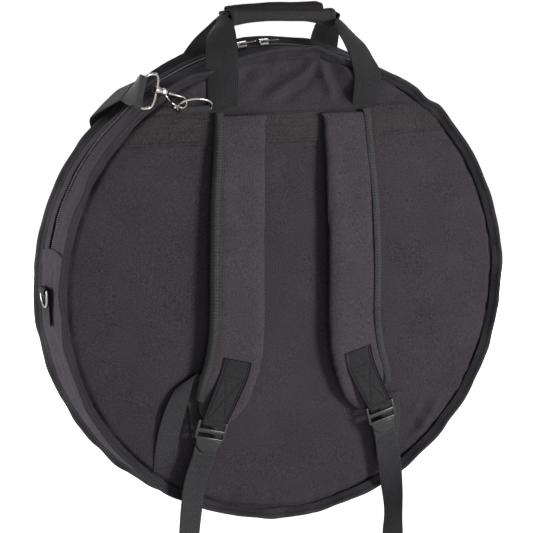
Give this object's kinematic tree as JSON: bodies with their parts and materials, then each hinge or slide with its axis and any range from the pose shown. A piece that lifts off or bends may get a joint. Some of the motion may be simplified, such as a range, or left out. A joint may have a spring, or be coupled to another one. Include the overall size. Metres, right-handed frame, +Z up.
{
  "type": "cymbal bag",
  "caption": "Round padded cymbal bag with arched zip, carry handle, lifting backpack straps, swinging D rings and a clip-on shoulder strap.",
  "frame": {"origin": "middle of the flat underside of the carry grip, where the hand lifts the bag", "axes": "+Z up, -Y out of the face with the backpack straps, +X to the right when looking at that face"},
  "size_m": [0.6451, 0.185, 0.7549],
  "materials": {
    "cloth": "woven polyester, matt black",
    "gusset": "woven polyester, matt black",
    "padding": "woven polyester over foam, matt black",
    "grip": "woven polyester over foam, matt black",
    "lining": "thin woven lining, grey",
    "divider": "soft padded sheet, grey",
    "foam": "closed cell foam sheet",
    "webbing": "ribbed polyester webbing, black",
    "binding": "grosgrain tape, black",
    "zip_chain": "moulded coil on woven tape, black",
    "buckle": "moulded acetal, black, glossy",
    "nickel": "bright nickel plate"
  },
  "bodies": {
    "bag": {"strap_side_panel": "cloth", "strap_side_foam": "foam", "strap_side_lining": "lining", "pocket_side_panel": "cloth", "pocket_side_foam": "foam", "pocket_side_lining": "lining", "divider_strap_side": "divider", "divider_pocket_side": "divider", "lower_gusset": "gusset", "zip_strip_strap_side": "gusset", "zip_strip_pocket_side": "gusset", "main_zip_chain": "zip_chain", "zip_end_cover_left": "webbing", "zip_end_cover_right": "webbing", "strap_side_binding": "binding", "pocket_side_binding": "binding", "top_reinforcement_band": "cloth", "pocket_front_panel": "cloth", "pocket_gusset": "gusset", "pocket_zip_chain": "zip_chain", "handle_webbing_strap_side": "webbing", "handle_webbing_pocket_side": "webbing", "handle_wrap": "grip", "ring_loop_top": "webbing", "ring_loop_left": "webbing", "ring_loop_right": "webbing", "snap_frame_left": "nickel", "snap_frame_right": "nickel", "load_webbing_left": "webbing", "load_webbing_right": "webbing", "shoulder_strap_webbing": "webbing"},
    "zip_slider_left": {"zip_slider_left": "nickel"},
    "zip_slider_right": {"zip_slider_right": "nickel"},
    "zip_pull_left": {"zip_pull_left": "nickel"},
    "zip_pull_right": {"zip_pull_right": "nickel"},
    "pocket_slider": {"pocket_slider": "nickel"},
    "pocket_pull": {"pocket_pull": "nickel"},
    "d_ring_top": {"d_ring_top": "nickel"},
    "d_ring_left": {"d_ring_left": "nickel"},
    "d_ring_right": {"d_ring_right": "nickel"},
    "hook_left": {"hook_body_left": "nickel"},
    "hook_right": {"hook_body_right": "nickel"},
    "gate_left": {"hook_gate_left": "nickel"},
    "gate_right": {"hook_gate_right": "nickel"},
    "strap_adjuster": {"strap_adjuster": "buckle"},
    "wrap_flap": {"wrap_closure_flap": "grip"},
    "backpack_strap_left": {"backpack_pad_left": "padding", "pad_binding_left": "binding", "pad_tab_left": "webbing"},
    "backpack_strap_right": {"backpack_pad_right": "padding", "pad_binding_right": "binding", "pad_tab_right": "webbing"},
    "ladder_lock_left": {"ladder_lock_left": "buckle"},
    "ladder_lock_right": {"ladder_lock_right": "buckle"},
    "strap_tail_left": {"strap_tail_left": "webbing"},
    "strap_tail_right": {"strap_tail_right": "webbing"}
  },
  "joints": [
    {"name": "main_zip_left_run", "type": "hinge", "parent": "bag", "child": "zip_slider_left", "pos_m": [0, 0, -0.326], "axis": [0, -1, 0], "range_deg": [0, 66]},
    {"name": "main_zip_right_run", "type": "hinge", "parent": "bag", "child": "zip_slider_right", "pos_m": [0, 0, -0.326], "axis": [0, 1, 0], "range_deg": [0, 79]},
    {"name": "zip_pull_left_flip", "type": "hinge", "parent": "zip_slider_left", "child": "zip_pull_left", "pos_m": [-0.04671, 0.012, -0.0242], "axis": [0, -1, 0], "range_deg": [0, 165]},
    {"name": "zip_pull_right_flip", "type": "hinge", "parent": "zip_slider_right", "child": "zip_pull_right", "pos_m": [-0.01758, 0.012, -0.02111], "axis": [0, -1, 0], "range_deg": [0, 165]},
    {"name": "pocket_slider_run", "type": "slide", "parent": "bag", "child": "pocket_slider", "axis": [1, 0, 0], "range_m": [-0.238, 0.238]},
    {"name": "pocket_pull_flip", "type": "hinge", "parent": "pocket_slider", "child": "pocket_pull", "pos_m": [0, 0.047, -0.2749], "axis": [0, -1, 0], "range_deg": [0, 165]},
    {"name": "top_ring_rock", "type": "hinge", "parent": "bag", "child": "d_ring_top", "pos_m": [-0.12694, -0.0397, -0.0985], "axis": [1, 0, 0], "range_deg": [-4, 4]},
    {"name": "left_ring_swing", "type": "hinge", "parent": "bag", "child": "d_ring_left", "pos_m": [-0.30513, 0.008, -0.3148], "axis": [0, 1, 0], "range_deg": [0, 110]},
    {"name": "right_ring_rock", "type": "hinge", "parent": "bag", "child": "d_ring_right", "pos_m": [0.3068, 0.02, -0.31486], "axis": [0, -1, 0], "range_deg": [-4, 4]},
    {"name": "hook_left_swivel", "type": "hinge", "parent": "bag", "child": "hook_left", "pos_m": [-0.1734, -0.05489, -0.07559], "axis": [0.9136, 0.3242, -0.2456], "range_deg": [-4, 4]},
    {"name": "gate_left_press", "type": "hinge", "parent": "hook_left", "child": "gate_left", "pos_m": [-0.1597, -0.05184, -0.0898], "axis": [0.3677, -0.9164, 0.1582], "range_deg": [0, 25], "stiffness_Nm_per_rad": 0.02, "springref_deg": -17.19},
    {"name": "hook_right_swivel", "type": "hinge", "parent": "bag", "child": "hook_right", "pos_m": [0.3277, 0.03608, -0.3607], "axis": [-0.1198, -0.499, 0.8583], "range_deg": [-4, 4]},
    {"name": "gate_right_press", "type": "hinge", "parent": "hook_right", "child": "gate_right", "pos_m": [0.31524, 0.02823, -0.3472], "axis": [0, 0.8645, 0.5026], "range_deg": [0, 25], "stiffness_Nm_per_rad": 0.02, "springref_deg": -17.19},
    {"name": "adjuster_slide", "type": "slide", "parent": "bag", "child": "strap_adjuster", "axis": [0.3047, 0.1394, -0.9422], "range_m": [-0.012, 0.012]},
    {"name": "wrap_flap_lift", "type": "hinge", "parent": "bag", "child": "wrap_flap", "pos_m": [0, 0.011, 0.0281], "axis": [-1, 0, 0], "range_deg": [0, 120]},
    {"name": "backpack_strap_left_lift", "type": "hinge", "parent": "bag", "child": "backpack_strap_left", "pos_m": [-0.06794, -0.038, -0.10399], "axis": [-1, 0, 0], "range_deg": [0, 30]},
    {"name": "ladder_lock_left_tip", "type": "hinge", "parent": "backpack_strap_left", "child": "ladder_lock_left", "pos_m": [-0.1135, -0.0592, -0.484], "axis": [-0.9659, 0, 0.2588], "range_deg": [0, 35]},
    {"name": "strap_tail_left_swing", "type": "hinge", "parent": "ladder_lock_left", "child": "strap_tail_left", "pos_m": [-0.12453, -0.05615, -0.52515], "axis": [-1, 0, 0], "range_deg": [-3, 25]},
    {"name": "backpack_strap_right_lift", "type": "hinge", "parent": "bag", "child": "backpack_strap_right", "pos_m": [0.06794, -0.038, -0.10399], "axis": [-1, 0, 0], "range_deg": [0, 30]},
    {"name": "ladder_lock_right_tip", "type": "hinge", "parent": "backpack_strap_right", "child": "ladder_lock_right", "pos_m": [0.1135, -0.0592, -0.484], "axis": [-0.9659, 0, -0.2588], "range_deg": [0, 35]},
    {"name": "strap_tail_right_swing", "type": "hinge", "parent": "ladder_lock_right", "child": "strap_tail_right", "pos_m": [0.12453, -0.05615, -0.52515], "axis": [-1, 0, 0], "range_deg": [0, 25]}
  ]
}
